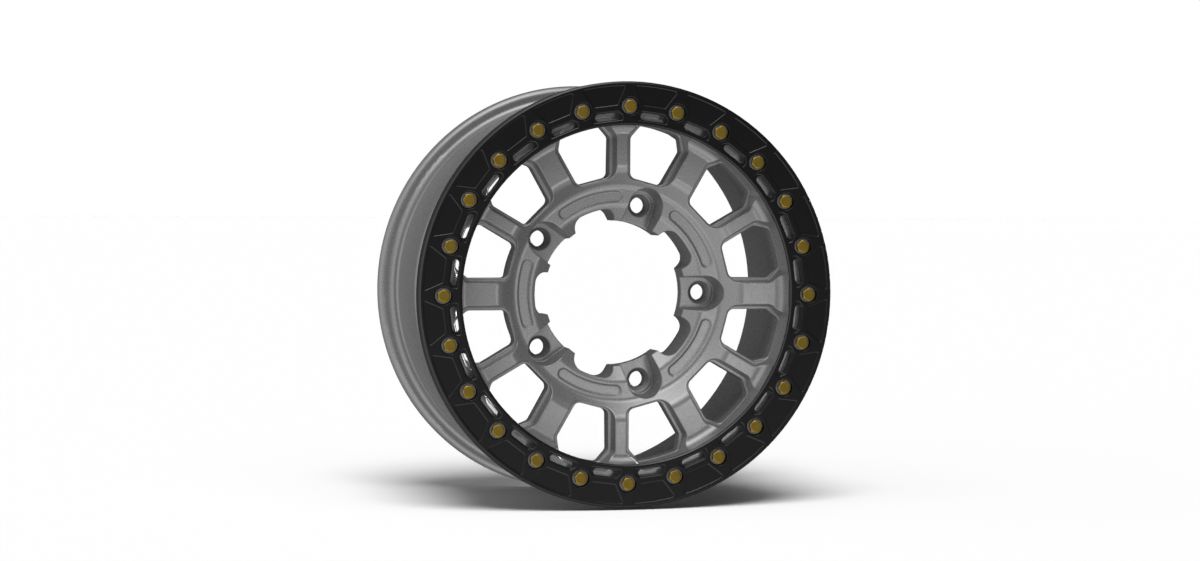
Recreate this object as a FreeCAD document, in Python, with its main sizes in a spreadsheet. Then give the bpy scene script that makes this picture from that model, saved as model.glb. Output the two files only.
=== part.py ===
"""Seventeen inch beadlock wheel: one casting, a bolted bead ring and its fasteners.

Each body is drawn about its local Z axis with the outboard side towards +Z and the hub's
mounting face at zero, and is then laid over so that the axle lies along Y and outboard is -Y.
"""
import FreeCAD
import Part
import Sketcher
import math
import os

Vector = FreeCAD.Vector

# The driving dimensions, in millimetres and degrees. Levels are measured from the mounting face.
DIMENSIONS = {
    # Hub
    "bore_radius": 80.7,
    "bore_back_chamfer": 5.5,
    "bore_front_level": 35.5,
    "hub_bevel_radius": 97.0,
    "hub_bevel_fillet": 8.0,
    "hub_face_level": 47.0,
    "hub_face_radius": 119.0,
    "hub_cove_radius": 8.0,
    "hub_pad_radius": 122.0,
    "hub_pad_fillet": 2.0,
    "hub_pad_root_radius": 125.0,
    "hub_pad_root_fillet": 8.0,
    "lug_count": 5,
    "lug_circle_radius": 102.5,
    "lug_hole_radius": 9.0,
    "lug_seat_radius": 13.0,
    "lug_seat_depth": 4.5,
    "lug_floor_level": 18.0,
    "lug_floor_half_width": 17.0,
    "lug_floor_end_radius": 16.8,
    "lug_floor_reach": 16.5,
    "lug_pocket_draft": 5.0,
    "lobe_radius": 94.6,
    "lobe_half_angle": 7.6,
    "lobe_corner_radius": 12.0,
    "lobe_corner_angle": 7.2,
    "lobe_mouth_half_angle": 18.6,
    "groove_inner_radius": 101.0,
    "groove_outer_radius": 114.5,
    "groove_half_angle": 17.0,
    "groove_depth": 2.4,
    "groove_wall_draft": 40.0,
    # Spokes and windows
    "spoke_pair_count": 6,
    "spoke_face_level": 62.5,
    "spoke_face_radius": 137.0,
    "spoke_shoulder_fillet": 14.0,
    "spoke_end_radius": 184.5,
    "spoke_end_fillet": 12.0,
    "spoke_back_level": 33.5,
    "spoke_back_rise": 3.5,
    "spoke_back_fillet": 6.0,
    "ledge_level": 51.5,
    "ledge_width": 3.2,
    "ledge_outer_width": 0.6,
    "ledge_wall_draft": 12.5,
    "wide_spoke_half_width": 17.7,
    "narrow_spoke_half_width": 11.9,
    "window_inner_radius": 127.4,
    "window_wide_radius": 170.0,
    "window_outer_radius": 187.5,
    "window_wide_side_angle": 4.1,
    "window_narrow_side_angle": 5.7,
    "window_corner_angle": 2.0,
    "window_inner_corner": 7.0,
    "window_side_corner": 7.0,
    "window_outer_corner": 5.0,
    # Rim
    "land_level": 81.5,
    "land_inner_radius": 192.0,
    "land_outer_radius": 217.5,
    "land_root_fillet": 3.0,
    "bead_gap": 20.0,
    "bead_stop_radius": 226.0,
    "bead_stop_width": 7.0,
    "bead_stop_fillet": 2.0,
    "well_radius": 197.0,
    "well_width": 28.0,
    "well_front_level": 35.5,
    "well_fillet": 8.0,
    "well_wall": 7.0,
    "well_bore_overlap": 4.0,
    "barrel_radius": 217.5,
    "barrel_wall": 5.5,
    "barrel_bore_lag": 8.0,
    "barrel_bore_fillet": 10.0,
    "seat_radius": 218.3,
    "seat_width": 20.0,
    "hump_height": 1.4,
    "hump_half_width": 2.0,
    "hump_ramp": 5.0,
    "hump_fillet": 2.0,
    "flange_radius": 235.7,
    "flange_level": -135.5,
    "flange_thickness": 12.0,
    "flange_root_radius": 6.5,
    "flange_roll_radius": 7.5,
    "flange_edge_fillet": 3.0,
    "flange_back_width": 7.0,
    "flange_back_bevel": 3.0,
    "flange_back_fillet": 1.0,
    "rim_inner_radius": 212.0,
    "valve_hole_radius": 5.7,
    "valve_hole_level": 19.5,
    "valve_hole_angle": 195.0,
    # Bead ring
    "ring_bore_radius": 185.7,
    "ring_bore_chamfer": 1.5,
    "ring_outer_radius": 233.25,
    "ring_edge_chamfer": 1.9,
    "ring_thickness": 11.6,
    "ring_lip_depth": 6.0,
    "ring_lip_clearance": 0.4,
    "ring_nose_thickness": 3.4,
    "ring_nose_radius": 190.5,
    "ring_web_thickness": 5.0,
    "ring_web_radius": 200.6,
    "ring_pad_thickness": 8.0,
    "ring_pad_half_width": 15.5,
    "ring_pad_inset": 0.2,
    "bolt_count": 24,
    "bolt_circle_radius": 206.4,
    "bolt_boss_inner_half_width": 9.5,
    "bolt_boss_outer_half_width": 10.9,
    "counterbore_radius": 10.0,
    "counterbore_depth": 4.5,
    "slot_circle_radius": 195.5,
    "slot_half_length": 13.5,
    "slot_half_width": 3.75,
    "slot_end_radius": 3.65,
    "slot_recess_depth": 1.6,
    "slot_recess_margin": 1.6,
    "slot_recess_half_length": 17.5,
    "slot_recess_cut_corner": 5.0,
    "slot_recess_inner_fillet": 2.0,
    "slot_recess_outer_fillet": 1.5,
    "panel_inner_radius": 207.0,
    "panel_outer_radius": 228.5,
    "panel_inner_half_width": 13.1,
    "panel_half_angle": 6.3,
    "panel_corner_angle": 1.7,
    "panel_depth": 1.3,
    "panel_corner": 2.0,
    # Fasteners
    "shank_radius": 3.97,
    "thread_clearance": 0.05,
    "ring_hole_radius": 4.3,
    "bolt_length": 25.0,
    "head_across_flats": 12.7,
    "head_height": 5.3,
    "head_chamfer": 0.7,
    "washer_radius": 8.75,
    "washer_thickness": 1.6,
    "insert_radius": 6.0,
    "insert_length": 16.0,
    "insert_depth": 0.5,
    "insert_hole_depth": 25.0,
}

SHEET_NAME = "Dims"
# How far cutting shapes run past the material, and how far joined blocks reach into it.
CUT_MARGIN = 10.0
OVERLAP = 1.0
LAID_OVER = FreeCAD.Rotation(Vector(1, 0, 0), 90)
# A sketch's own normal and its upright axis.
NORMAL = Vector(0, 0, 1)
UPRIGHT = Vector(0, 1, 0)


class Size:
    """A number that remembers the sheet expression it comes from."""

    def __init__(self, value, text):
        self.value = value
        self.text = text

    def __add__(self, other):
        other = as_size(other)
        return Size(self.value + other.value, "(%s + %s)" % (self.text, other.text))

    def __radd__(self, other):
        return as_size(other) + self

    def __sub__(self, other):
        other = as_size(other)
        return Size(self.value - other.value, "(%s - %s)" % (self.text, other.text))

    def __rsub__(self, other):
        return as_size(other) - self

    def __mul__(self, other):
        other = as_size(other)
        return Size(self.value * other.value, "(%s * %s)" % (self.text, other.text))

    def __rmul__(self, other):
        return as_size(other) * self

    def __truediv__(self, other):
        other = as_size(other)
        return Size(self.value / other.value, "(%s / %s)" % (self.text, other.text))

    def __rtruediv__(self, other):
        return as_size(other) / self

    def __neg__(self):
        return Size(-self.value, "(0 - %s)" % self.text)


def as_size(number):
    """Return the number as a Size."""
    if isinstance(number, Size):
        return number
    return Size(float(number), "%.9g" % number)


def cosine(angle):
    """Return the cosine of a Size in degrees."""
    angle = as_size(angle)
    return Size(math.cos(math.radians(angle.value)), "cos(%s * 1 deg)" % angle.text)


def sine(angle):
    """Return the sine of a Size in degrees."""
    angle = as_size(angle)
    return Size(math.sin(math.radians(angle.value)), "sin(%s * 1 deg)" % angle.text)


def make_sheet(doc):
    """Write the dimensions to a spreadsheet and return them as Sizes by name."""
    sheet = doc.addObject("Spreadsheet::Sheet", SHEET_NAME)
    sizes = {}
    for row, (name, value) in enumerate(DIMENSIONS.items(), start=1):
        sheet.set("A%d" % row, name)
        sheet.set("B%d" % row, str(value))
        sheet.setAlias("B%d" % row, name)
        sizes[name] = Size(float(value), "%s.%s" % (SHEET_NAME, name))
    return sizes


def origin_feature(body, role):
    """Return the body's own origin plane or axis with this role."""
    for feature in body.Origin.OriginFeatures:
        if feature.Role == role:
            return feature
    raise ValueError(role)


def new_body(doc, label):
    """Start a body that is laid over, axle along Y."""
    body = doc.addObject("PartDesign::Body", label)
    body.Label = label
    body.Placement = FreeCAD.Placement(Vector(0, 0, 0), LAID_OVER)
    return body


def new_sketch(body, name, plane, level=0.0, turn=0.0, about=NORMAL):
    """Attach a sketch to an origin plane, raised by level and turned about one of its axes."""
    level = as_size(level)
    turn = as_size(turn)
    sketch = body.newObject("Sketcher::SketchObject", name)
    sketch.AttachmentSupport = [(origin_feature(body, plane), "")]
    sketch.MapMode = "FlatFace"
    sketch.AttachmentOffset = FreeCAD.Placement(
        Vector(0, 0, level.value), FreeCAD.Rotation(about, turn.value))
    sketch.setExpression("AttachmentOffset.Base.z", level.text)
    if turn.value:
        sketch.setExpression("AttachmentOffset.Rotation.Angle", turn.text)
    return sketch


def constrain(sketch, kind, *references, size=None):
    """Add one constraint and bind its value to the sheet."""
    if size is None:
        sketch.addConstraint(Sketcher.Constraint(kind, *references))
        return
    index = sketch.addConstraint(Sketcher.Constraint(kind, *references, size.value))
    sketch.setExpression("Constraints[%d]" % index, size.text)


def place_point(sketch, geometry, position, x, y):
    """Hold one point of a sketch at signed distances from the sketch's origin."""
    for kind, size, axis in (("DistanceX", as_size(x), -2), ("DistanceY", as_size(y), -1)):
        if abs(size.value) < 1e-9:
            constrain(sketch, "PointOnObject", geometry, position, axis)
        elif size.value > 0:
            constrain(sketch, kind, -1, 1, geometry, position, size=size)
        else:
            constrain(sketch, kind, geometry, position, -1, 1, size=-size)


def rounded_corner(before, corner, after, radius):
    """Return the tangent points, centre and turning side of a rounded corner."""
    towards = (before - corner).normalize()
    away = (after - corner).normalize()
    half = towards.getAngle(away) / 2
    reach = radius / math.tan(half)
    centre = corner + (towards + away).normalize() * (radius / math.sin(half))
    turns_left = towards.cross(away).z < 0
    return corner + towards * reach, corner + away * reach, centre, turns_left


def outline(sketch, corners):
    """Draw a closed outline of straight sides with sharp or rounded corners.

    Each corner is (x, y, radius); a radius of None leaves it sharp.
    """
    points = [Vector(as_size(x).value, as_size(y).value, 0) for x, y, _ in corners]
    count = len(points)
    entries, exits, arcs = [], [], {}
    for index, (_, _, radius) in enumerate(corners):
        if radius is None:
            entries.append(points[index])
            exits.append(points[index])
            continue
        start, end, centre, left = rounded_corner(
            points[index - 1], points[index], points[(index + 1) % count], as_size(radius).value)
        entries.append(start)
        exits.append(end)
        arcs[index] = (centre, left)
    lines = [sketch.addGeometry(Part.LineSegment(exits[i], entries[(i + 1) % count]), False)
             for i in range(count)]
    for index, (x, y, radius) in enumerate(corners):
        incoming = lines[index - 1]
        outgoing = lines[index]
        if radius is None:
            constrain(sketch, "Coincident", incoming, 2, outgoing, 1)
            place_point(sketch, outgoing, 1, x, y)
            continue
        centre, left = arcs[index]
        first, last = (entries[index], exits[index]) if left else (exits[index], entries[index])
        start_angle = math.atan2(first.y - centre.y, first.x - centre.x)
        end_angle = math.atan2(last.y - centre.y, last.x - centre.x)
        circle = Part.Circle(centre, NORMAL, as_size(radius).value)
        arc = sketch.addGeometry(Part.ArcOfCircle(circle, start_angle, end_angle), False)
        entry_end, exit_end = (1, 2) if left else (2, 1)
        constrain(sketch, "Tangent", incoming, 2, arc, entry_end)
        constrain(sketch, "Tangent", outgoing, 1, arc, exit_end)
        constrain(sketch, "Radius", arc, size=as_size(radius))
        mark = sketch.addGeometry(Part.Point(points[index]), True)
        constrain(sketch, "PointOnObject", mark, 1, incoming)
        constrain(sketch, "PointOnObject", mark, 1, outgoing)
        place_point(sketch, mark, 1, x, y)


def round_side(radius, start_angle, end_angle, overshoot):
    """Return three corners that make an arc about the origin, met by its own tangents."""
    half = (end_angle - start_angle) / 2
    middle = (start_angle + end_angle) / 2
    corners = []
    for distance, angle in ((radius / cosine(overshoot), start_angle - overshoot),
                            (radius / cosine(half), middle),
                            (radius / cosine(overshoot), end_angle + overshoot)):
        corners.append((distance * cosine(angle), distance * sine(angle)))
    return corners


def circle_at(sketch, x, radius):
    """Draw a circle centred on the sketch's X axis."""
    circle = sketch.addGeometry(
        Part.Circle(Vector(as_size(x).value, 0, 0), NORMAL, as_size(radius).value), False)
    place_point(sketch, circle, 3, x, 0)
    constrain(sketch, "Radius", circle, size=as_size(radius))


def axis_line(sketch, start, end):
    """Draw the construction line that a section turns about."""
    points = [Vector(as_size(x).value, as_size(y).value, 0) for x, y in (start, end)]
    line = sketch.addGeometry(Part.LineSegment(*points), True)
    place_point(sketch, line, 1, *start)
    place_point(sketch, line, 2, *end)


def arc_slot(sketch, inner, outer, half_angle):
    """Draw a slot that follows a circle about the origin, with round ends."""
    middle = (inner + outer) / 2
    cap = (outer - inner) / 2
    spread = math.radians(half_angle.value)
    sides = [sketch.addGeometry(
        Part.ArcOfCircle(Part.Circle(Vector(0, 0, 0), NORMAL, size.value), -spread, spread), False)
        for size in (inner, outer)]
    for side, size in zip(sides, (inner, outer)):
        constrain(sketch, "Coincident", side, 3, -1, 1)
        constrain(sketch, "Radius", side, size=size)
    for sign, side_end, cap_inner, cap_outer in ((1, 2, 2, 1), (-1, 1, 1, 2)):
        centre = Vector(middle.value * math.cos(spread), sign * middle.value * math.sin(spread), 0)
        start = sign * spread if sign > 0 else -spread - math.pi
        arc = sketch.addGeometry(
            Part.ArcOfCircle(Part.Circle(centre, NORMAL, cap.value), start, start + math.pi), False)
        constrain(sketch, "Tangent", sides[0], side_end, arc, cap_inner)
        constrain(sketch, "Tangent", sides[1], side_end, arc, cap_outer)
        height = middle * sine(half_angle)
        if sign > 0:
            constrain(sketch, "DistanceY", -1, 1, arc, 3, size=height)
        else:
            constrain(sketch, "DistanceY", arc, 3, -1, 1, size=height)


def turned(body, name, sketch, kind="PartDesign::Revolution", axis="V_Axis"):
    """Revolve a sketch about one of its own axes, adding or cutting."""
    feature = body.newObject(kind, name)
    feature.Profile = sketch
    feature.ReferenceAxis = (sketch, [axis])
    feature.Angle = 360.0
    sketch.Visibility = False
    body.Tip = feature
    return feature


def pushed(body, name, sketch, depth, kind="PartDesign::Pocket", upwards=False, draft=0.0):
    """Cut or add material from a sketch by a bound depth."""
    feature = body.newObject(kind, name)
    feature.Profile = sketch
    feature.Length = as_size(depth).value
    feature.setExpression("Length", as_size(depth).text)
    feature.Reversed = upwards
    draft = as_size(draft)
    if draft.value:
        feature.TaperAngle = draft.value
        feature.setExpression("TaperAngle", draft.text)
    body.Tip = feature
    return feature


def around(body, name, features, count):
    """Repeat features evenly about the body's Z axis."""
    pattern = body.newObject("PartDesign::PolarPattern", name)
    pattern.Originals = features
    pattern.Axis = (origin_feature(body, "Z_Axis"), [""])
    pattern.Angle = 360.0
    pattern.Occurrences = int(count.value)
    pattern.setExpression("Occurrences", count.text)
    body.Tip = pattern
    return pattern


def wheel_profile(d):
    """Return the corners of the casting's section as (radius, level, corner radius)."""
    well_back = d["well_front_level"] - d["well_width"]
    well_bore = d["well_radius"] - d["well_wall"]
    barrel_bore = d["barrel_radius"] - d["barrel_wall"]
    flange_back = d["flange_level"] - d["flange_thickness"]
    hump_back = d["flange_level"] + d["seat_width"]
    hump_top = d["seat_radius"] + d["hump_height"]
    bead_stop = d["land_level"] - d["ring_lip_depth"] - d["bead_gap"]
    flank_drop = d["barrel_radius"] - d["well_radius"]
    bevel = d["flange_back_bevel"]
    bevel_front = d["flange_radius"] - d["flange_back_width"]
    return [
        (d["bore_radius"] + d["bore_back_chamfer"], 0, None),
        (d["bore_radius"], d["bore_back_chamfer"], None),
        (d["bore_radius"], d["bore_front_level"], None),
        (d["hub_bevel_radius"], d["hub_face_level"], d["hub_bevel_fillet"]),
        (d["hub_face_radius"], d["hub_face_level"], d["hub_cove_radius"]),
        (d["spoke_face_radius"], d["spoke_face_level"], d["spoke_shoulder_fillet"]),
        (d["spoke_end_radius"], d["spoke_face_level"], d["spoke_end_fillet"]),
        (d["land_inner_radius"], d["land_level"], None),
        (d["land_outer_radius"], d["land_level"], None),
        (d["land_outer_radius"], bead_stop, d["land_root_fillet"]),
        (d["bead_stop_radius"], bead_stop, d["bead_stop_fillet"]),
        (d["bead_stop_radius"], bead_stop - d["bead_stop_width"], d["bead_stop_fillet"]),
        (d["well_radius"], d["well_front_level"], d["well_fillet"]),
        (d["well_radius"], well_back, d["well_fillet"]),
        (d["barrel_radius"], well_back - flank_drop, d["well_fillet"]),
        (d["barrel_radius"], hump_back + d["hump_ramp"], d["hump_fillet"]),
        (hump_top, hump_back + d["hump_half_width"], d["hump_fillet"]),
        (d["seat_radius"], hump_back - d["hump_half_width"], d["hump_fillet"]),
        (d["seat_radius"], d["flange_level"], d["flange_root_radius"]),
        (d["flange_radius"], d["flange_level"], d["flange_roll_radius"]),
        (d["flange_radius"], flange_back, d["flange_edge_fillet"]),
        (bevel_front, flange_back, d["flange_back_fillet"]),
        (bevel_front - bevel, flange_back + bevel, d["flange_back_fillet"]),
        (d["rim_inner_radius"], flange_back + bevel, d["flange_back_fillet"]),
        (barrel_bore, well_back - flank_drop - d["barrel_bore_lag"], d["barrel_bore_fillet"]),
        (well_bore, well_back - d["well_bore_overlap"], d["well_fillet"]),
        (well_bore, d["spoke_back_level"] + d["spoke_back_rise"], d["spoke_back_fillet"]),
        (d["hub_pad_root_radius"], d["spoke_back_level"], d["hub_pad_root_fillet"]),
        (d["hub_pad_radius"], 0, d["hub_pad_fillet"]),
    ]


def window_corners(d, margin, outer_margin, wide_first):
    """Return a window outline between a wide and a narrow spoke, grown by a margin.

    The sketch's X axis is the window's middle line, half way between the two spokes.
    """
    step = 180 / (2 * d["spoke_pair_count"])
    inner = d["window_inner_radius"] - margin / 2
    widest = d["window_wide_radius"] + margin / 4
    sides = []
    for half_width in (d["wide_spoke_half_width"], d["narrow_spoke_half_width"]):
        held = half_width - margin
        sides.append([(x, (x * sine(step) - held) / cosine(step)) for x in (inner, widest)])
    wide, narrow = sides
    outer = round_side(d["window_outer_radius"] + outer_margin, -d["window_wide_side_angle"],
                       d["window_narrow_side_angle"], d["window_corner_angle"])
    corners = [
        (wide[0][0], -wide[0][1], d["window_inner_corner"] + margin),
        (wide[1][0], -wide[1][1], d["window_side_corner"]),
        (outer[0][0], outer[0][1] - margin / 2, d["window_outer_corner"] + margin / 2),
        (outer[1][0], outer[1][1], d["window_outer_radius"] + outer_margin),
        (outer[2][0], outer[2][1] + margin / 2, d["window_outer_corner"] + margin / 2),
        (narrow[1][0], narrow[1][1], d["window_side_corner"]),
        (narrow[0][0], narrow[0][1], d["window_inner_corner"] + margin),
    ]
    if wide_first:
        return corners
    return [(x, -y, radius) for x, y, radius in reversed(corners)]


def cut_windows(body, d):
    """Cut the windows and the sunk ledge around each one."""
    step = 180 / (2 * d["spoke_pair_count"])
    cuts = []
    for name, turn, wide_first in (("After_wide", step, True), ("After_narrow", 3 * step, False)):
        window = new_sketch(body, "Window_" + name, "XY_Plane", d["ledge_level"], turn)
        outline(window, window_corners(d, as_size(0), as_size(0), wide_first))
        cuts.append(pushed(body, "WindowCut_" + name, window,
                           d["ledge_level"] - d["spoke_back_level"] + CUT_MARGIN))
        ledge = new_sketch(body, "Ledge_" + name, "XY_Plane", d["ledge_level"], turn)
        outline(ledge, window_corners(d, d["ledge_width"], d["ledge_outer_width"], wide_first))
        cuts.append(pushed(body, "LedgeCut_" + name, ledge,
                           d["land_level"] - d["ledge_level"] + OVERLAP,
                           upwards=True, draft=d["ledge_wall_draft"]))
    around(body, "Windows", cuts, d["spoke_pair_count"])


def cut_hub(body, d):
    """Cut the lug pockets, lug holes with seats, bore lobes and face grooves."""
    half_pitch = 180 / d["lug_count"]
    inside = d["bore_radius"] - CUT_MARGIN
    centre = d["lug_circle_radius"]
    floor = d["lug_floor_level"]
    width = d["lug_floor_half_width"]
    reach = centre + d["lug_floor_reach"]
    pocket = new_sketch(body, "Lug_pocket", "XY_Plane", floor)
    outline(pocket, [
        (inside, -width, None),
        (reach, -width, d["lug_floor_end_radius"]),
        (reach, width, d["lug_floor_end_radius"]),
        (inside, width, None),
    ])
    pocket_cut = pushed(body, "LugPocketCut", pocket, d["spoke_face_level"] - floor,
                        upwards=True, draft=d["lug_pocket_draft"])

    seat = new_sketch(body, "Lug_seat", "XZ_Plane")
    axis_line(seat, (centre, 0), (centre, floor))
    outline(seat, [
        (centre, -CUT_MARGIN, None),
        (centre + d["lug_hole_radius"], -CUT_MARGIN, None),
        (centre + d["lug_hole_radius"], floor - d["lug_seat_depth"], None),
        (centre + d["lug_seat_radius"], floor, None),
        (centre + d["lug_seat_radius"], floor + OVERLAP, None),
        (centre, floor + OVERLAP, None),
    ])
    seat_cut = turned(body, "LugSeatCut", seat, "PartDesign::Groove", "Axis0")

    lobe = new_sketch(body, "Lobe", "XY_Plane", d["hub_face_level"] + OVERLAP, half_pitch)
    start, middle, end = round_side(d["lobe_radius"], -d["lobe_half_angle"], d["lobe_half_angle"],
                                    d["lobe_corner_angle"])
    half_mouth = inside * sine(d["lobe_mouth_half_angle"])
    outline(lobe, [
        (inside, -half_mouth, None),
        start + (d["lobe_corner_radius"],),
        middle + (d["lobe_radius"],),
        end + (d["lobe_corner_radius"],),
        (inside, half_mouth, None),
    ])
    lobe_cut = pushed(body, "LobeCut", lobe, d["hub_face_level"] + CUT_MARGIN)

    groove = new_sketch(body, "Face_groove", "XY_Plane", d["hub_face_level"], half_pitch)
    arc_slot(groove, d["groove_inner_radius"], d["groove_outer_radius"], d["groove_half_angle"])
    groove_cut = pushed(body, "GrooveCut", groove, d["groove_depth"], draft=-d["groove_wall_draft"])
    around(body, "Hub_cuts", [pocket_cut, seat_cut, lobe_cut, groove_cut], d["lug_count"])


def drill_rim(body, d):
    """Drill the insert holes in the ring's land and the valve hole in the well."""
    insert = new_sketch(body, "Insert_hole", "XY_Plane", d["land_level"])
    circle_at(insert, d["bolt_circle_radius"], d["insert_radius"])
    insert_cut = pushed(body, "InsertCut", insert, d["insert_hole_depth"])
    around(body, "Insert_holes", [insert_cut], d["bolt_count"])

    valve = new_sketch(body, "Valve_hole", "XZ_Plane", turn=d["valve_hole_angle"], about=UPRIGHT)
    level = d["valve_hole_level"]
    start = d["well_radius"] - d["well_wall"] - CUT_MARGIN
    end = d["well_radius"] + CUT_MARGIN
    axis_line(valve, (start, level), (end, level))
    outline(valve, [
        (start, level, None),
        (end, level, None),
        (end, level + d["valve_hole_radius"], None),
        (start, level + d["valve_hole_radius"], None),
    ])
    turned(body, "ValveHoleCut", valve, "PartDesign::Groove", "Axis0")


def make_wheel(doc, d):
    """Build the one-piece casting: hub, spokes and rim."""
    body = new_body(doc, "wheel")
    section = new_sketch(body, "Wheel_section", "XZ_Plane")
    outline(section, wheel_profile(d))
    turned(body, "Wheel_turned", section)
    cut_windows(body, d)
    cut_hub(body, d)
    drill_rim(body, d)
    return body


def make_ring(doc, d):
    """Build the bolted ring that clamps the outer tyre bead."""
    body = new_body(doc, "beadlock_ring")
    back = d["land_level"]
    front = back + d["ring_thickness"]
    bore = d["ring_bore_radius"]
    bevel = d["ring_bore_chamfer"]
    edge = d["ring_edge_chamfer"]
    lip_radius = d["land_outer_radius"] + d["ring_lip_clearance"]
    nose = d["ring_nose_radius"]
    nose_back = front - d["ring_nose_thickness"]
    web = d["ring_web_radius"]
    web_back = front - d["ring_web_thickness"]
    section = new_sketch(body, "Ring_section", "XZ_Plane")
    outline(section, [
        (bore, nose_back, None),
        (nose, nose_back, None),
        (nose, web_back, None),
        (web, web_back, None),
        (web, back, None),
        (lip_radius, back, None),
        (lip_radius, back - d["ring_lip_depth"], None),
        (d["ring_outer_radius"] - edge / 2, back - d["ring_lip_depth"], None),
        (d["ring_outer_radius"], back - d["ring_lip_depth"] + edge / 2, None),
        (d["ring_outer_radius"], front - edge, None),
        (d["ring_outer_radius"] - edge, front, None),
        (bore + bevel, front, None),
        (bore, front - bevel, None),
    ])
    turned(body, "Ring_turned", section)

    pitch = 360 / d["bolt_count"]
    pad = new_sketch(body, "Pad", "XY_Plane", front - d["ring_pad_thickness"])
    pad_start = bore + d["ring_pad_inset"]
    outline(pad, [
        (pad_start, -d["ring_pad_half_width"], None),
        (nose + OVERLAP, -d["ring_pad_half_width"], None),
        (nose + OVERLAP, d["ring_pad_half_width"], None),
        (pad_start, d["ring_pad_half_width"], None),
    ])
    pad_block = pushed(body, "PadBlock", pad, d["ring_pad_thickness"] - d["ring_nose_thickness"],
                       kind="PartDesign::Pad")
    around(body, "Pads", [pad_block], 2 * d["spoke_pair_count"])

    boss = new_sketch(body, "Bolt_boss", "XY_Plane", back)
    outline(boss, [
        (nose, -d["bolt_boss_inner_half_width"], None),
        (web + OVERLAP, -d["bolt_boss_outer_half_width"], None),
        (web + OVERLAP, d["bolt_boss_outer_half_width"], None),
        (nose, d["bolt_boss_inner_half_width"], None),
    ])
    boss_block = pushed(body, "BossBlock", boss, web_back - back, kind="PartDesign::Pad")
    around(body, "Bolt_bosses", [boss_block], d["bolt_count"])

    recess = new_sketch(body, "Slot_recess", "XY_Plane", front, pitch / 2)
    slot_inner = d["slot_circle_radius"] - d["slot_half_width"]
    slot_outer = d["slot_circle_radius"] + d["slot_half_width"]
    recess_inner = slot_inner - d["slot_recess_margin"]
    recess_outer = slot_outer + d["slot_recess_margin"]
    corner = d["slot_recess_cut_corner"]
    half = d["slot_recess_half_length"]
    outline(recess, [
        (recess_inner, -half, d["slot_recess_inner_fillet"]),
        (recess_outer - corner, -half, d["slot_recess_outer_fillet"]),
        (recess_outer, corner - half, d["slot_recess_outer_fillet"]),
        (recess_outer, half - corner, d["slot_recess_outer_fillet"]),
        (recess_outer - corner, half, d["slot_recess_outer_fillet"]),
        (recess_inner, half, d["slot_recess_inner_fillet"]),
    ])
    recess_cut = pushed(body, "RecessCut", recess, d["slot_recess_depth"])

    slot = new_sketch(body, "Slot", "XY_Plane", front, pitch / 2)
    outline(slot, [
        (slot_inner, -d["slot_half_length"], d["slot_end_radius"]),
        (slot_outer, -d["slot_half_length"], d["slot_end_radius"]),
        (slot_outer, d["slot_half_length"], d["slot_end_radius"]),
        (slot_inner, d["slot_half_length"], d["slot_end_radius"]),
    ])
    slot_cut = pushed(body, "SlotCut", slot, d["ring_thickness"] + OVERLAP)

    panel = new_sketch(body, "Panel", "XY_Plane", front, pitch / 2)
    arc_half = d["panel_half_angle"] - d["panel_corner_angle"]
    start, middle, end = round_side(d["panel_outer_radius"], -arc_half, arc_half,
                                    d["panel_corner_angle"])
    outline(panel, [
        (d["panel_inner_radius"], -d["panel_inner_half_width"], d["panel_corner"]),
        start + (d["panel_corner"],),
        middle + (d["panel_outer_radius"],),
        end + (d["panel_corner"],),
        (d["panel_inner_radius"], d["panel_inner_half_width"], d["panel_corner"]),
    ])
    panel_cut = pushed(body, "PanelCut", panel, d["panel_depth"])

    hole = new_sketch(body, "Counterbore", "XY_Plane", front)
    circle_at(hole, d["bolt_circle_radius"], d["counterbore_radius"])
    hole_cut = pushed(body, "CounterboreCut", hole, d["counterbore_depth"])
    drill = new_sketch(body, "Ring_hole", "XY_Plane", front)
    circle_at(drill, d["bolt_circle_radius"], d["ring_hole_radius"])
    drill_cut = pushed(body, "RingHoleCut", drill, d["ring_thickness"] + OVERLAP)
    around(body, "Ring_cuts", [recess_cut, slot_cut, panel_cut, hole_cut, drill_cut], d["bolt_count"])
    return body


def place_on_circle(node, d, index, level):
    """Put a fastener at its place on the bolt circle and lay it over with the wheel."""
    turn = FreeCAD.Rotation(Vector(0, 0, 1), 360 * index / d["bolt_count"].value)
    spot = turn.multVec(Vector(d["bolt_circle_radius"].value, 0, level.value))
    node.Placement = FreeCAD.Placement(LAID_OVER.multVec(spot), LAID_OVER * turn)


def bind(node, **properties):
    """Set properties of a primitive from Sizes and bind them."""
    for name, size in properties.items():
        size = as_size(size)
        setattr(node, name, size.value)
        node.setExpression(name, size.text)


def make_bolt(doc, d, number):
    """Build one hexagon bolt, with its head's underside at zero."""
    label = "ring_bolt_%02d" % number
    corner = d["head_across_flats"] / 2 / cosine(30)
    hexagon = doc.addObject("Part::Prism", label + "_hexagon")
    hexagon.Polygon = 6
    bind(hexagon, Circumradius=corner, Height=d["head_height"])
    hexagon.Placement = FreeCAD.Placement(Vector(0, 0, 0), FreeCAD.Rotation(Vector(0, 0, 1), 30))
    dome = doc.addObject("Part::Cone", label + "_dome")
    rise = d["head_height"] - d["head_chamfer"]
    bind(dome, Radius1=corner + 2 * rise, Radius2=d["head_across_flats"] / 2 - d["head_chamfer"],
         Height=d["head_height"])
    head = doc.addObject("Part::MultiCommon", label + "_head")
    head.Shapes = [hexagon, dome]
    shank = doc.addObject("Part::Cylinder", label + "_shank")
    bind(shank, Radius=d["shank_radius"], Height=d["bolt_length"])
    shank.Placement = FreeCAD.Placement(Vector(0, 0, -d["bolt_length"].value), FreeCAD.Rotation())
    shank.setExpression("Placement.Base.z", (-d["bolt_length"]).text)
    bolt = doc.addObject("Part::MultiFuse", label)
    bolt.Shapes = [head, shank]
    bolt.Refine = True
    bolt.Label = label
    return bolt


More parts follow.
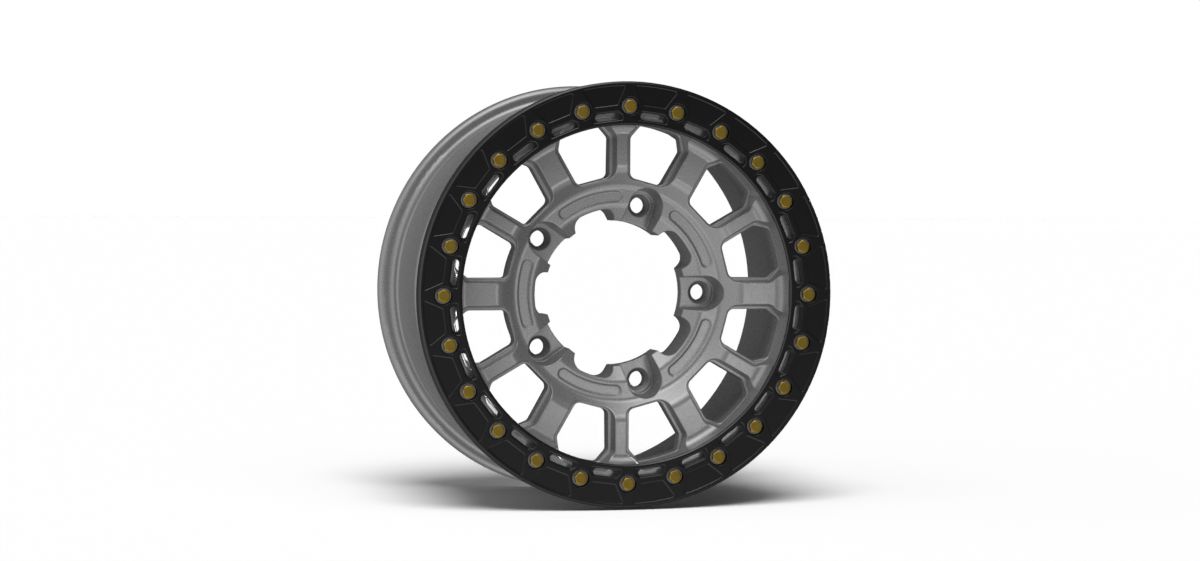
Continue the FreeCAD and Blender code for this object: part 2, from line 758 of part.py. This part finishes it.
def make_washer(doc, d, number):
    """Build one flat washer."""
    label = "ring_washer_%02d" % number
    disc = doc.addObject("Part::Cylinder", label + "_disc")
    bind(disc, Radius=d["washer_radius"], Height=d["washer_thickness"])
    hole = doc.addObject("Part::Cylinder", label + "_hole")
    bind(hole, Radius=d["ring_hole_radius"], Height=d["washer_thickness"])
    washer = doc.addObject("Part::Cut", label)
    washer.Base = disc
    washer.Tool = hole
    washer.Label = label
    return washer


def make_inserts(doc, d):
    """Build the steel thread inserts pressed into the land, as one group of solids."""
    tubes = []
    bottom = d["land_level"] - d["insert_depth"] - d["insert_length"]
    for index in range(int(d["bolt_count"].value)):
        label = "insert_%02d" % (index + 1)
        outside = doc.addObject("Part::Cylinder", label + "_outside")
        bind(outside, Radius=d["insert_radius"], Height=d["insert_length"])
        thread = doc.addObject("Part::Cylinder", label + "_thread")
        bind(thread, Radius=d["shank_radius"] + d["thread_clearance"], Height=d["insert_length"])
        tube = doc.addObject("Part::Cut", label)
        tube.Base = outside
        tube.Tool = thread
        place_on_circle(tube, d, index, bottom)
        tubes.append(tube)
    group = doc.addObject("Part::Compound", "thread_inserts")
    group.Links = tubes
    group.Label = "thread_inserts"
    return group


def make_fasteners(doc, d):
    """Build every bolt, washer and insert."""
    floor = d["land_level"] + d["ring_thickness"] - d["counterbore_depth"]
    nodes = []
    for index in range(int(d["bolt_count"].value)):
        washer = make_washer(doc, d, index + 1)
        place_on_circle(washer, d, index, floor)
        bolt = make_bolt(doc, d, index + 1)
        place_on_circle(bolt, d, index, floor + d["washer_thickness"])
        nodes.extend([washer, bolt])
    nodes.append(make_inserts(doc, d))
    return nodes


def check(doc, nodes):
    """Stop if any object failed or any node is not a valid shape."""
    for item in doc.Objects:
        if "Invalid" in item.State or "Error" in item.State:
            raise RuntimeError("%s: %s" % (item.Name, item.State))
    for node in nodes:
        if node.Shape.isNull() or not node.Shape.isValid():
            raise RuntimeError("bad shape: " + node.Label)


def main():
    """Build the document and write one STEP file per node."""
    doc = FreeCAD.newDocument("beadlock_wheel")
    d = make_sheet(doc)
    doc.recompute()
    nodes = [make_wheel(doc, d), make_ring(doc, d)] + make_fasteners(doc, d)
    doc.recompute()
    check(doc, nodes)
    os.makedirs("parts", exist_ok=True)
    for node in nodes:
        node.Shape.exportStep(os.path.join("parts", node.Label + ".step"))
        print(node.Label, "solids", len(node.Shape.Solids), "volume", round(node.Shape.Volume / 1000, 2))


main()
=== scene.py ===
"""Looks, studio and camera for a seventeen inch beadlock wheel.

The solids come from the frame. This script gives each of them its surface, stands the wheel
on a pale floor and looks at it from the left of its axle.
"""
import math

import bpy
from mathutils import Matrix, Vector


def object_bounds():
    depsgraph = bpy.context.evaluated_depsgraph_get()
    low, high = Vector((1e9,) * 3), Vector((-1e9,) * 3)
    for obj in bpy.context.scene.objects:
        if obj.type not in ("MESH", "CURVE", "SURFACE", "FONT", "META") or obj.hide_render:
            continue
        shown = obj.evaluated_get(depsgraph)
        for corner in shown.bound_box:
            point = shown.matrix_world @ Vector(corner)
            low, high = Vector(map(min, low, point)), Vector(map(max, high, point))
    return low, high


# Camera: where it stands in metres, where it looks in degrees, and its lens.
IMAGE_WIDTH = 1200
CAMERA_POINT = Vector((-0.8104, -3.0460, 0.1155))
CAMERA_AZIMUTH = -14.75
CAMERA_ELEVATION = 1.865
CAMERA_ROLL = 0.335
FOCAL_LENGTH_IN_PIXELS = 2806.5
SENSOR_WIDTH_MM = 36.0

# Shading.
EDGE_SAMPLES = 8
STEEL_ROUGHNESS_SPREAD = 0.08

# Floor and background.
FLOOR_HALF_SIZE = 30.0
FLOOR_COLOUR = (0.35, 0.35, 0.35)
WHITE = (1.0, 1.0, 1.0, 1.0)
BACKGROUND_STRENGTH = 1.0

# The soft dome: each light's name, direction, sharpness and strength.
DOME = (
    ("upper_front", (0.0, -0.55, 0.83), 16.0, 5.5),
    ("high_left", (-0.32, -0.35, 0.88), 16.0, 1.2),
    ("top", (0.0, 0.0, 1.0), 24.0, 2.2),
    ("lower_front", (0.0, -0.7, -0.7), 6.0, 1.9),
    ("upper_left", (-0.6, -0.6, 0.6), 10.0, 1.15),
    ("lower_left", (-0.6, -0.6, -0.5), 10.0, 1.0),
    ("left", (-1.0, 0.0, 0.0), 3.0, 1.35),
    ("right", (1.0, 0.0, 0.0), 3.0, 0.18),
    ("back", (0.0, 1.0, 0.0), 2.0, 0.08),
    ("below", (0.0, 0.0, -1.0), 2.0, 0.2),
)

# The softboxes: name, position, target, size in metres, watts, and whether only the casting
# is lit.
SOFTBOXES = (
    ("Key", (-1.6, -2.2, 2.4), (0.0, 0.0, 0.0), 1.2, 3.0, False),
    ("Glow", (0.525, -1.6, -0.196), (0.07, 0.0, -0.09), 0.35, 2.2, True),
    ("Back", (2.4, 2.6, 0.2), (0.0, 0.0, 0.0), 1.5, 95.0, False),
)

# The high light, which lights the floor alone.
HIGH_POSITION = (-0.3, -1.2, 2.0)
HIGH_TARGET = (0.0, 0.0, 0.0)
HIGH_SPREAD_DEGREES = 32
HIGH_STRENGTH = 6.6


def grey(value):
    """Return a grey colour."""
    return (value, value, value)


def new_material(name, colour, metallic, roughness, specular=0.5):
    """Return a material, its node tree and its shader, with the plain values set."""
    material = bpy.data.materials.new(name)
    material.use_nodes = True
    tree = material.node_tree
    shader = tree.nodes["Principled BSDF"]
    shader.inputs["Base Color"].default_value = (*colour, 1.0)
    shader.inputs["Metallic"].default_value = metallic
    shader.inputs["Roughness"].default_value = roughness
    shader.inputs["Specular IOR Level"].default_value = specular
    return material, tree, shader


def add_node(tree, kind, **values):
    """Add a node; the values name its input sockets, with underscores for spaces."""
    node = tree.nodes.new(kind)
    for name, value in values.items():
        node.inputs[name.replace("_", " ")].default_value = value
    return node


def place_texture(tree, kind, **values):
    """Add a texture node that follows the object's own coordinates."""
    where = tree.nodes.new("ShaderNodeTexCoord")
    texture = add_node(tree, kind, **values)
    tree.links.new(where.outputs["Object"], texture.inputs["Vector"])
    return texture


def colour_range(tree, source, dark, light, start=0.0, end=1.0):
    """Turn a texture's value into a colour between two ends."""
    ramp = tree.nodes.new("ShaderNodeValToRGB")
    ramp.color_ramp.elements[0].position = start
    ramp.color_ramp.elements[0].color = (*dark, 1.0)
    ramp.color_ramp.elements[1].position = end
    ramp.color_ramp.elements[1].color = (*light, 1.0)
    tree.links.new(source, ramp.inputs["Fac"])
    return ramp.outputs["Color"]


def value_range(tree, source, low, high):
    """Turn a texture's value into a number between two ends."""
    spread = add_node(tree, "ShaderNodeMapRange", To_Min=low, To_Max=high)
    tree.links.new(source, spread.inputs["Value"])
    return spread.outputs["Result"]


def soften_edges(tree, shader, height, radius, strength, distance):
    """Round the edges in the shading, and add a bump over them."""
    bevel = add_node(tree, "ShaderNodeBevel", Radius=radius)
    bevel.samples = EDGE_SAMPLES
    bump = add_node(tree, "ShaderNodeBump", Strength=strength, Distance=distance)
    tree.links.new(height, bump.inputs["Height"])
    tree.links.new(bevel.outputs["Normal"], bump.inputs["Normal"])
    tree.links.new(bump.outputs["Normal"], shader.inputs["Normal"])


def casting_material():
    """Metallic grey powder coat over a fine cast skin."""
    material, tree, shader = new_material(
        "Cast_grey", colour=grey(0.20), metallic=0.45, roughness=0.32)
    flakes = place_texture(tree, "ShaderNodeTexVoronoi", Scale=900.0)
    grain = place_texture(tree, "ShaderNodeTexNoise", Scale=520.0, Detail=3.0)
    tint = colour_range(tree, grain.outputs["Fac"], dark=grey(0.19), light=grey(0.202),
                        start=0.3, end=0.7)
    tree.links.new(tint, shader.inputs["Base Color"])
    gloss = value_range(tree, flakes.outputs["Color"], low=0.25, high=0.37)
    tree.links.new(gloss, shader.inputs["Roughness"])
    soften_edges(tree, shader, grain.outputs["Fac"], radius=0.002, strength=0.12,
                 distance=0.0008)
    return material


def ring_material():
    """Satin black coat on the machined ring."""
    material, tree, shader = new_material(
        "Satin_black", colour=grey(0.0018), metallic=0.0, roughness=0.22)
    grain = place_texture(tree, "ShaderNodeTexNoise", Scale=1500.0, Detail=2.0)
    clouds = place_texture(tree, "ShaderNodeTexNoise", Scale=25.0, Detail=3.0)
    tint = colour_range(tree, clouds.outputs["Fac"], dark=grey(0.0015), light=grey(0.0021))
    tree.links.new(tint, shader.inputs["Base Color"])
    gloss = value_range(tree, clouds.outputs["Fac"], low=0.18, high=0.26)
    tree.links.new(gloss, shader.inputs["Roughness"])
    soften_edges(tree, shader, grain.outputs["Fac"], radius=0.0009, strength=0.15,
                 distance=0.0001)
    return material


def bolt_material():
    """Yellow zinc plate."""
    material, tree, shader = new_material(
        "Yellow_zinc", colour=(0.22, 0.15, 0.028), metallic=1.0, roughness=0.5)
    clouds = place_texture(tree, "ShaderNodeTexNoise", Scale=160.0, Detail=3.0)
    grain = place_texture(tree, "ShaderNodeTexNoise", Scale=2200.0, Detail=2.0)
    tint = colour_range(tree, clouds.outputs["Fac"], dark=(0.20, 0.14, 0.028),
                        light=(0.25, 0.168, 0.03), start=0.3, end=0.7)
    tree.links.new(tint, shader.inputs["Base Color"])
    soften_edges(tree, shader, grain.outputs["Fac"], radius=0.0003, strength=0.2,
                 distance=0.0001)
    return material


def steel_material(name, colour, roughness):
    """Plain or zinc-plated steel with a faint brushed grain."""
    material, tree, shader = new_material(name, colour, metallic=1.0, roughness=roughness)
    grain = place_texture(tree, "ShaderNodeTexNoise", Scale=1800.0, Detail=2.0)
    gloss = value_range(tree, grain.outputs["Fac"], low=roughness - STEEL_ROUGHNESS_SPREAD,
                        high=roughness + STEEL_ROUGHNESS_SPREAD)
    tree.links.new(gloss, shader.inputs["Roughness"])
    soften_edges(tree, shader, grain.outputs["Fac"], radius=0.0002, strength=0.2,
                 distance=0.0001)
    return material


def dress(nodes):
    """Give every solid of the frame its surface."""
    bolt = bolt_material()
    washer = steel_material("Zinc_washer", colour=grey(0.24), roughness=0.40)
    surfaces = {
        "wheel": casting_material(),
        "beadlock_ring": ring_material(),
        "thread_inserts": steel_material("Insert_steel", colour=(0.35, 0.34, 0.33),
                                         roughness=0.35),
    }
    for name, node in nodes.items():
        if name.startswith("ring_bolt_"):
            surface = bolt
        elif name.startswith("ring_washer_"):
            surface = washer
        else:
            surface = surfaces[name]
        node.data.materials.clear()
        node.data.materials.append(surface)


def make_floor(level):
    """Lay a pale floor. The camera sees it and the wheel's shadow on it, and it casts no light."""
    bpy.ops.mesh.primitive_plane_add(size=2 * FLOOR_HALF_SIZE, location=(0, 0, level))
    floor = bpy.context.object
    floor.name = "Floor"
    floor.visible_diffuse = False
    floor.visible_glossy = False
    floor.visible_shadow = False
    material, _, _ = new_material(
        "Floor_white", FLOOR_COLOUR, metallic=0.0, roughness=0.9, specular=0.0)
    floor.data.materials.append(material)
    return floor


def dome_light(tree, where, name, direction, sharpness, strength):
    """Return a soft light that is strongest in one direction of the dome."""
    facing = tree.nodes.new("ShaderNodeVectorMath")
    facing.operation = "DOT_PRODUCT"
    facing.inputs[1].default_value = Vector(direction).normalized()
    tree.links.new(where, facing.inputs[0])
    value = facing.outputs["Value"]
    for kind, number in (("MAXIMUM", 0.0), ("POWER", sharpness), ("MULTIPLY", strength)):
        step = tree.nodes.new("ShaderNodeMath")
        step.operation = kind
        step.inputs[1].default_value = number
        tree.links.new(value, step.inputs[0])
        value = step.outputs["Value"]
    step.label = name
    return value


def make_sky():
    """White for the camera, and a soft studio dome for everything else."""
    world = bpy.data.worlds.new("Studio")
    bpy.context.scene.world = world
    world.use_nodes = True
    tree = world.node_tree
    tree.nodes.clear()
    where = tree.nodes.new("ShaderNodeTexCoord").outputs["Generated"]
    total = None
    for light in DOME:
        value = dome_light(tree, where, *light)
        if total is not None:
            both = tree.nodes.new("ShaderNodeMath")
            both.operation = "ADD"
            tree.links.new(total, both.inputs[0])
            tree.links.new(value, both.inputs[1])
            value = both.outputs["Value"]
        total = value
    dome = add_node(tree, "ShaderNodeBackground", Color=WHITE)
    tree.links.new(total, dome.inputs["Strength"])
    white = add_node(tree, "ShaderNodeBackground", Color=WHITE, Strength=BACKGROUND_STRENGTH)
    rays = tree.nodes.new("ShaderNodeLightPath")
    mix = tree.nodes.new("ShaderNodeMixShader")
    out = tree.nodes.new("ShaderNodeOutputWorld")
    tree.links.new(rays.outputs["Is Camera Ray"], mix.inputs["Fac"])
    tree.links.new(dome.outputs["Background"], mix.inputs[1])
    tree.links.new(white.outputs["Background"], mix.inputs[2])
    tree.links.new(mix.outputs["Shader"], out.inputs["Surface"])


def hang_light(light, position, target, lit_objects):
    """Hang a light that points at a target and lights only these objects."""
    holder = bpy.data.objects.new(light.name, light)
    bpy.context.scene.collection.objects.link(holder)
    holder.location = position
    aim = Vector(target) - Vector(position)
    holder.rotation_euler = aim.to_track_quat("-Z", "Y").to_euler()
    lit = bpy.data.collections.new(light.name + "_lit")
    for item in lit_objects:
        lit.objects.link(item)
    holder.light_linking.receiver_collection = lit


def make_lights(nodes, floor):
    """Light the wheel from the front, low right and back, and the floor from high up."""
    for name, position, target, size, watts, casting_only in SOFTBOXES:
        light = bpy.data.lights.new(name, "AREA")
        light.shape = "SQUARE"
        light.size = size
        light.energy = watts
        hang_light(light, position, target, [nodes["wheel"]] if casting_only else nodes.values())
    high = bpy.data.lights.new("High", "SUN")
    high.angle = math.radians(HIGH_SPREAD_DEGREES)
    high.energy = HIGH_STRENGTH
    hang_light(high, HIGH_POSITION, HIGH_TARGET, [floor])


def make_camera():
    """Stand the camera where the photograph was taken from."""
    azimuth = math.radians(CAMERA_AZIMUTH)
    elevation = math.radians(CAMERA_ELEVATION)
    roll = math.radians(CAMERA_ROLL)
    back = Vector((math.sin(azimuth) * math.cos(elevation),
                   -math.cos(azimuth) * math.cos(elevation),
                   math.sin(elevation)))
    level_right = (-back).cross(Vector((0, 0, 1))).normalized()
    level_up = level_right.cross(-back)
    right = level_right * math.cos(roll) + level_up * math.sin(roll)
    up = level_up * math.cos(roll) - level_right * math.sin(roll)
    data = bpy.data.cameras.new("Camera")
    data.sensor_fit = "HORIZONTAL"
    data.sensor_width = SENSOR_WIDTH_MM
    data.lens = FOCAL_LENGTH_IN_PIXELS * SENSOR_WIDTH_MM / IMAGE_WIDTH
    camera = bpy.data.objects.new("Camera", data)
    bpy.context.scene.collection.objects.link(camera)
    turn = Matrix((right, up, back)).transposed()
    camera.matrix_world = Matrix.Translation(CAMERA_POINT) @ turn.to_4x4()
    bpy.context.scene.camera = camera


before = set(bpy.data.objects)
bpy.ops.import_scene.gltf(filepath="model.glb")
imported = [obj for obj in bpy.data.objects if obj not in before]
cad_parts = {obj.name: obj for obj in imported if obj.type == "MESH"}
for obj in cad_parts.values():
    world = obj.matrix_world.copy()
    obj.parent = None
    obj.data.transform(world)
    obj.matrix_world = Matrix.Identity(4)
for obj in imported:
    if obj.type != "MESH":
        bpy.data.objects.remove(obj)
cad_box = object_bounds()
dress(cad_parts)
floor = make_floor(cad_box[0].z)
make_sky()
make_lights(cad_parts, floor)
make_camera()
bpy.context.scene.view_settings.view_transform = "Standard"
